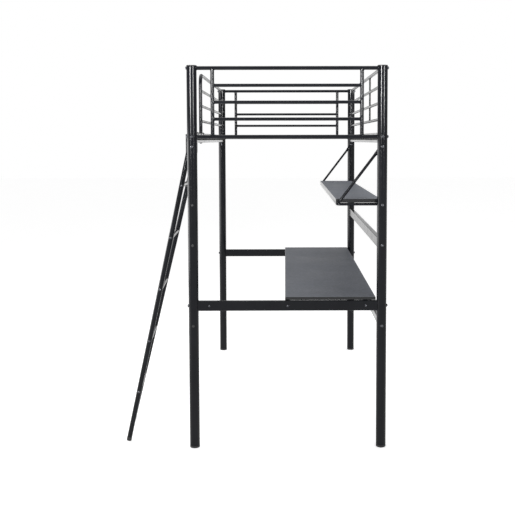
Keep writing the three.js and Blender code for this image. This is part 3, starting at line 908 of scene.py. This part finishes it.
def shelfPieces():
    r = tubes["shelfRadius"]
    z = levels["shelfArm"]
    x0, x1 = low("shelf_frame", 0) + r, high("shelf_frame", 0) - shelfShape["backInset"]
    y0, y1 = low("shelf_frame", 1) + r, high("shelf_frame", 1) - r
    frameTube = tubePart([point(x1, y0, z), point(x0, y0, z), point(x0, y1, z), point(x1, y1, z)],
                         r, axisZ, shelfShape["bend"], steps=12)
    backX = x1 - shelfShape["backTube"]
    backTube = tubePart([point(backX, y0, z), point(backX, y1, z)], r, axisZ)
    parts = [(frameTube, "rail"), (backTube, "rail")]
    for y, sign in ((y0, 1), (y1, -1)):
        bead = beadPart(point(backX, y, z), axisY * sign, axisX, r, r, shelfShape["bead"])
        parts.append((bead, "weld"))
    addPiece("shelf_frame_tubes", parts, ["shelf_frame"])
    boardPiece("shelf_board", "shelf_board_panel", "shelf")
    return y0, y1


# A strut: ring = centre + a cos t side + b sin t Y. Near its top it goes from round to flat.
def strutPart(start, end, shiftY):
    r = tubes["shelfRadius"]
    along = (end - start) / np.linalg.norm(end - start)
    length = np.linalg.norm(end - start)
    tip = shelfShape["tabTip"]
    flatStart = length - shelfShape["flatRun"] - shelfShape["flatFrom"]
    flatEnd = length - shelfShape["flatRun"] + shelfShape["flatTo"]
    reach = np.concatenate([[0], np.linspace(flatStart, flatEnd, 9),
                            [length], length + tip * np.sin(np.linspace(0.2, 1.45, 6))])
    flat = np.clip((reach - flatStart) / (flatEnd - flatStart), 0, 1)
    flat = flat * flat * (3 - 2 * flat)
    wide = r + flat * shelfShape["tabSwell"]
    past = np.clip((reach - length) / tip, 0, 0.995)
    wide = wide * np.sqrt(1 - past ** 2)
    thick = r + flat * (shelfShape["strutTab"] / 2 - r)
    centres = start + reach[:, None] * along + (flat * shiftY)[:, None] * axisY
    side = np.cross(axisY, along)
    t = np.arange(32) * (2 * math.pi / 32)
    rings = (centres[:, None] + (wide[:, None] * np.cos(t))[..., None] * side
             + (thick[:, None] * np.sin(t))[..., None] * axisY)
    return closedGrid(rings)


def strutPieces(y0, y1):
    r, boltZ = tubes["shelfRadius"], levels["sideBolts"][1]
    frontX = low("shelf_frame", 0) + r
    footX, footZ = shelfShape["strutFoot"]
    for end, y, sy in (("near", y0, -1), ("far", y1, 1)):
        start = point(frontX + footX, y, levels["shelfArm"] + footZ)
        stop = point(rightX, y, boltZ)
        shift = sy * (r - shelfShape["strutTab"] / 2)
        parts = [(strutPart(start, stop, shift), "rail")]
        inner = y + shift - sy * shelfShape["strutTab"] / 2
        head = boltPart(point(rightX, inner, boltZ), -axisY * sy, buttonHead["share"]["rail"])
        parts.append((head, "bolt"))
        addPiece(f"shelf_strut_{end}_rod", parts, [f"shelf_strut_{end}"])


strutPieces(*shelfPieces())
print("desk and shelf made")

ladder = {
    "bendZ": 1483 * mm,
    "topZ": 1579 * mm,
    "bend": 70 * mm,
    "standOff": 5.3 * mm,
    "reach": {"near": 321 * mm, "far": 357 * mm},
    "railEdge": 1.4 * mm,
    "rungStart": 9 * mm,
    "rungBead": 1.6 * mm,
    "capRadius": 12.9 * mm,
    "capHeight": 12 * mm,
    "capRound": 4.6 * mm,
    "capCollar": 8 * mm,
    "hookPlate": 4 * mm,
    "hookRound": 1.2 * mm,
    "strapRound": 0.9 * mm,
    "strapBend": 2.6 * mm,
    "strapLap": 12 * mm,
    "hookGap": 0.3 * mm,
    "hookWidth": 20 * mm,
    "hookPlay": 5 * mm,
    "hookDepth": 18 * mm,
    "hookPlateBottom": 1540 * mm,
}
railOuterX = leftX - railHalf
ladderTopX = railOuterX - ladder["standOff"] - tubes["ladderRadius"]
ladderYs = {"near": middle("ladder_foot_near", 1), "far": middle("ladder_foot_far", 1)}


def ladderPoint(side, z):
    lean = ladder["reach"][side] * (1 - z / ladder["bendZ"])
    return point(ladderTopX - lean, ladderYs[side], z)


def ladderAxis(side):
    axis = point(ladder["reach"][side], 0, ladder["bendZ"])
    return axis / np.linalg.norm(axis)


def hookParts(side, inward):
    y = ladderYs[side]
    gap, thick = ladder["hookGap"], ladder["hookPlate"]
    plateX = railOuterX - ladder["standOff"] + gap
    tongueNear = y + inward * (tubes["ladderRadius"] + 1 * mm)
    tongueFar = tongueNear + inward * ladder["hookWidth"]
    ys = sorted((y - inward * tubes["ladderRadius"] / 3, tongueFar))
    plate = blockPart(point(plateX - 1.5 * mm, ys[0], ladder["hookPlateBottom"]),
                      point(plateX + thick, ys[1], ladder["topZ"]), ladder["hookRound"])
    midY = (tongueNear + tongueFar) / 2
    outX, topZ = plateX + thick / 2, railTopZ + gap + thick / 2
    inX = leftX + railHalf + ladder["hookPlay"] + thick / 2
    strap = sectionPart([point(outX, midY, ladder["topZ"] - ladder["strapLap"]),
                         point(outX, midY, topZ), point(inX, midY, topZ),
                         point(inX, midY, railTopZ - ladder["hookDepth"])],
                        thick, ladder["hookWidth"], axisY, ladder["strapRound"],
                        bend=ladder["strapBend"])
    return [(plate, "ladder"), (strap, "ladder")]


def ladderPieces():
    r = tubes["ladderRadius"]
    rungs = [f"rung_{k}" for k in range(1, 6)]
    for side, inward in (("near", 1), ("far", -1)):
        axis = ladderAxis(side)
        lean = math.acos(axis[2])
        e, capR = ladder["capRound"], ladder["capRadius"]
        capEndZ = e - e * math.cos(lean) + (capR - e) * math.sin(lean)
        capEnd = ladderPoint(side, 0) + axis * (capEndZ / axis[2])
        start = capEnd + axis * ladder["capHeight"]
        y = ladderYs[side]
        rail = tubePart([start, point(ladderTopX, y, ladder["bendZ"]),
                         point(ladderTopX, y, ladder["topZ"])],
                        r, axisY, ladder["bend"], sides=40, edge=ladder["railEdge"])
        parts = [(rail, "ladder")] + hookParts(side, inward)
        for rung in rungs:
            place = ladderPoint(side, middle(rung, 2))
            head = boltPart(place - inward * r * axisY, -axisY * inward, buttonHead["share"]["rung"])
            parts.append((head, "bolt"))
        addPiece(f"ladder_rail_{side}_tube", parts, [f"ladder_rail_{side}"], "ladder")
        a = np.linspace(0, math.pi / 2, 7)
        sole = [(0, 0.0), (capR * 0.4, 0.0)]
        sole += list(zip(capR - e + e * np.sin(a), e - e * np.cos(a)))
        neck = ladder["capHeight"] + ladder["capCollar"]
        sole += [(capR, neck - 1 * mm), (capR - 0.3 * mm, neck - 0.3 * mm),
                 (r - 0.6 * mm, neck), (0, neck)]
        foot = turnedPart(sole, capEnd, axis, 48)
        addPiece(f"ladder_foot_{side}_shoe", [(foot, "cap")], [f"ladder_foot_{side}"], "ladder")
    for rung in rungs:
        z = middle(rung, 2)
        a, b = ladderPoint("near", z), ladderPoint("far", z)
        along = (b - a) / np.linalg.norm(b - a)
        a, b = a + along * ladder["rungStart"], b - along * ladder["rungStart"]
        tube = tubePart([a, b], tubes["rungRadius"], axisZ, sides=40)
        parts = [(tube, "ladder")]
        for side, sign in (("near", 1), ("far", -1)):
            parts.append((beadPart(ladderPoint(side, z), along * sign, ladderAxis(side),
                                   tubes["rungRadius"], r, ladder["rungBead"]), "weld"))
        addPiece(f"{rung}_tube", parts, [rung], "ladder")


ladderPieces()
print("ladder made")


def fastenerPieces():
    r = tubes["postRadius"]
    upperZ, lowerZ = levels["sideBolts"]
    for corner, (x, y, sx, sy) in corners.items():
        face, side = y + sy * r, x + sx * r
        parts = [(boltPart(point(x, face, upperZ), axisY * sy), "bolt")]
        for z in (levels["shelfArm"], levels["backRail"], levels["lowRail"]):
            # only the desk side carries anything here; the holes of the ladder side are plugged
            if sx < 0:
                parts.append((plugPart(point(x, face + plug["shiftY"], z), axisY * sy), "cap"))
            else:
                parts.append((boltPart(point(x, face, z), axisY * sy), "bolt"))
        for z in (levels["topRail"], levels["bottomRail"]):
            parts.append((boltPart(point(side, y, z), axisX * sx), "bolt"))
        addPiece(f"post_{corner}_bolts", parts, [])
        addPiece(f"rail_bolt_{corner}_head",
                 [(boltPart(point(x, face, lowerZ), axisY * sy), "bolt")],
                 [f"rail_bolt_{corner}"])
        addPiece(f"cross_bolt_{corner}_head",
                 [(boltPart(point(side, y, levels["crossBar"]), axisX * sx), "bolt")],
                 [f"cross_bolt_{corner}"])


fastenerPieces()
print("fasteners made:", len(made), "pieces")

studio = {
    "floorTone": (0.86, 0.86, 0.86),
    "floorGlow": 0.55,
    "floorHalf": 30.0,
    "floorZ": -0.5 * mm,
    "skySeen": 1.0,
    "skyFront": 0.50,
    "skyBack": 1.35,
    "backdropY": (0.78, 0.97),
    "backdropZ": (0.03, 0.12),
    "stripX": (-3.2, 3.9),
    "stripBefore": 5.4,
    "stripPower": (72.0, 40.0),
    "stripSpread": 50.0,
    "stripSize": (0.7, 2.2),
    "stripHeight": 2.98,
    "sidePlace": (-4.2, 0.6, 0.95),
    "sideSize": (5.6, 1.3),
    "sidePower": 110.0,
    "topHeight": 4.2,
    "topSize": (3.0, 3.0),
    "topPower": 60.0,
}
camera = {
    "besideBed": -11.0 * mm,
    "beforePosts": 4273.3 * mm,
    "height": 1548.7 * mm,
    "pitch": 3.969,
    "yaw": 0.3192,
    "roll": -0.0989,
    "lens": 60.303,
    "shift": (-0.0631, -0.1119),
}


def addFloor():
    material, tree, shader = newMaterial("studioFloor")
    coords = addNode(tree, "ShaderNodeTexCoord").outputs["Object"]
    tone = studio["floorTone"]
    shade = ramp(tree, noise(tree, coords, 1.2, 3.0), [(0.3, lifted(tone, 0.985)), (0.7, tone)])
    tree.links.new(shade, shader.inputs["Base Color"])
    shader.inputs["Roughness"].default_value = 0.9
    shader.inputs["Emission Color"].default_value = (1.0, 1.0, 1.0, 1.0)
    shader.inputs["Emission Strength"].default_value = studio["floorGlow"]
    half, z = studio["floorHalf"], studio["floorZ"]
    mesh = bpy.data.meshes.new("studioFloor")
    mesh.from_pydata([(-half, -half, z), (half, -half, z), (half, half, z), (-half, half, z)],
                     [], [(0, 1, 2, 3)])
    mesh.materials.append(material)
    floor = bpy.data.objects.new("studioFloor", mesh)
    bpy.context.scene.collection.objects.link(floor)


def addSky():
    # a bright backdrop behind the bed and a dimmer room elsewhere; seen directly, it is plain white
    world = bpy.data.worlds.new("studioSky")
    world.use_nodes = True
    tree = world.node_tree
    sky = tree.nodes["Background"]
    sky.inputs["Color"].default_value = (1.0, 1.0, 1.0, 1.0)
    toward = addNode(tree, "ShaderNodeSeparateXYZ")
    tree.links.new(addNode(tree, "ShaderNodeTexCoord").outputs["Generated"], toward.inputs["Vector"])
    behind = mapRange(tree, toward.outputs["Y"], *studio["backdropY"], 0.0, 1.0)
    under = mapRange(tree, toward.outputs["Z"], *studio["backdropZ"], 1.0, 0.0)
    backdrop = addNode(tree, "ShaderNodeMath", {"operation": "MULTIPLY"})
    tree.links.new(behind, backdrop.inputs[0])
    tree.links.new(under, backdrop.inputs[1])
    room = mapRange(tree, backdrop.outputs["Value"], 0.0, 1.0, studio["skyFront"], studio["skyBack"])
    # a mix node's float sockets are 0 (factor), 2 and 3
    seen = addNode(tree, "ShaderNodeMix", {"data_type": "FLOAT"}, {3: studio["skySeen"]})
    tree.links.new(addNode(tree, "ShaderNodeLightPath").outputs["Is Camera Ray"], seen.inputs[0])
    tree.links.new(room, seen.inputs[2])
    tree.links.new(seen.outputs[0], sky.inputs["Strength"])
    bpy.context.scene.world = world


def addLight(name, place, target, size, power, spread=180.0):
    light = bpy.data.lights.new(name, "AREA")
    light.shape = "RECTANGLE"
    light.size, light.size_y = size
    light.energy = power
    light.spread = math.radians(spread)
    lamp = bpy.data.objects.new(name, light)
    lamp.location = place
    aim = np.asarray(target, float) - np.asarray(place, float)
    yaw = math.atan2(aim[0], aim[1])
    tilt = math.atan2(math.hypot(aim[0], aim[1]), -aim[2])
    lamp.rotation_euler = (tilt, 0.0, -yaw)
    bpy.context.scene.collection.objects.link(lamp)


def addCamera():
    yaw, pitch, roll = (math.radians(camera[k]) for k in ("yaw", "pitch", "roll"))
    right = point(math.cos(yaw), -math.sin(yaw), 0)
    ahead = point(math.cos(pitch) * math.sin(yaw), math.cos(pitch) * math.cos(yaw), -math.sin(pitch))
    up = np.cross(right, ahead)
    rolledRight = right * math.cos(roll) + up * math.sin(roll)
    rolledUp = up * math.cos(roll) - right * math.sin(roll)
    place = point(bedX + camera["besideBed"], nearY - camera["beforePosts"], camera["height"])
    lens = bpy.data.cameras.new("studioCamera")
    lens.lens = camera["lens"]
    lens.sensor_width = 36.0
    lens.shift_x, lens.shift_y = camera["shift"]
    lens.clip_start, lens.clip_end = 0.05, 200.0
    eye = bpy.data.objects.new("studioCamera", lens)
    matrix = np.eye(4)
    matrix[:3, 0], matrix[:3, 1], matrix[:3, 2], matrix[:3, 3] = rolledRight, rolledUp, -ahead, place
    eye.matrix_world = Matrix(matrix.tolist())
    bpy.context.scene.collection.objects.link(eye)
    bpy.context.scene.camera = eye


addFloor()
addSky()
stripY, stripZ = nearY - studio["stripBefore"], studio["stripHeight"]
for strip, x, power in zip(("leftStrip", "rightStrip"), studio["stripX"], studio["stripPower"]):
    addLight(strip, (bedX + x, stripY, stripZ), (bedX, nearY, stripZ),
             studio["stripSize"], power, studio["stripSpread"])
sideX, sideY, sideZ = studio["sidePlace"]
addLight("sideLight", (bedX + sideX, sideY, sideZ), (bedX, sideY, sideZ),
         studio["sideSize"], studio["sidePower"])
addLight("topLight", (bedX, 0.0, studio["topHeight"]), (bedX, 0, 1.0),
         studio["topSize"], studio["topPower"])
addCamera()
bpy.context.scene.view_settings.view_transform = "Standard"

bpy.context.view_layer.update()
